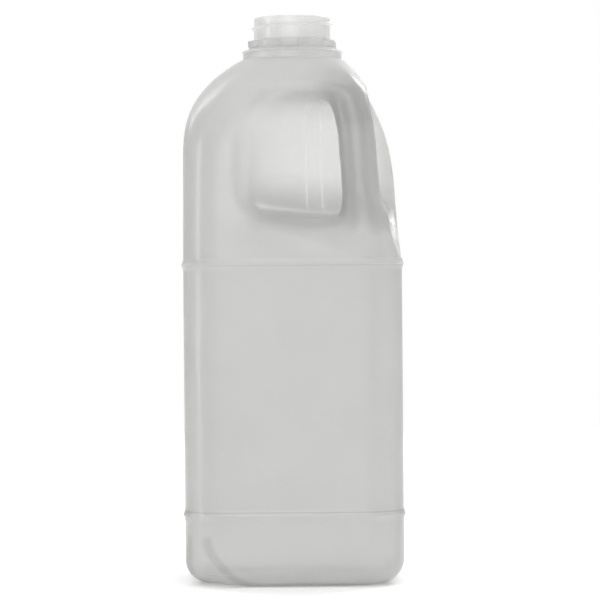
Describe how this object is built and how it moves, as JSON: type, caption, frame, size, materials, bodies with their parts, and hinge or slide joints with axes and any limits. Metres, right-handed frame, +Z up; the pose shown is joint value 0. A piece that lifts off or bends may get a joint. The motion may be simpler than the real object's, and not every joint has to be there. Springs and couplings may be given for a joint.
{
  "type": "plastic milk bottle",
  "caption": "Empty square blow-moulded milk bottle with a round threaded neck, two panel beads and a hollow handle across one corner.",
  "frame": {"origin": "centre of the base, on the plane that the bottle stands on", "axes": "+Z up through the neck; the handle is on the corner between +X and -Y"},
  "size_m": [0.101, 0.101, 0.2596],
  "materials": {
    "bottle": "natural translucent polyethylene, softly glossy, milky white-grey"
  },
  "bodies": {
    "root": {"bottle": "bottle"}
  },
  "joints": []
}
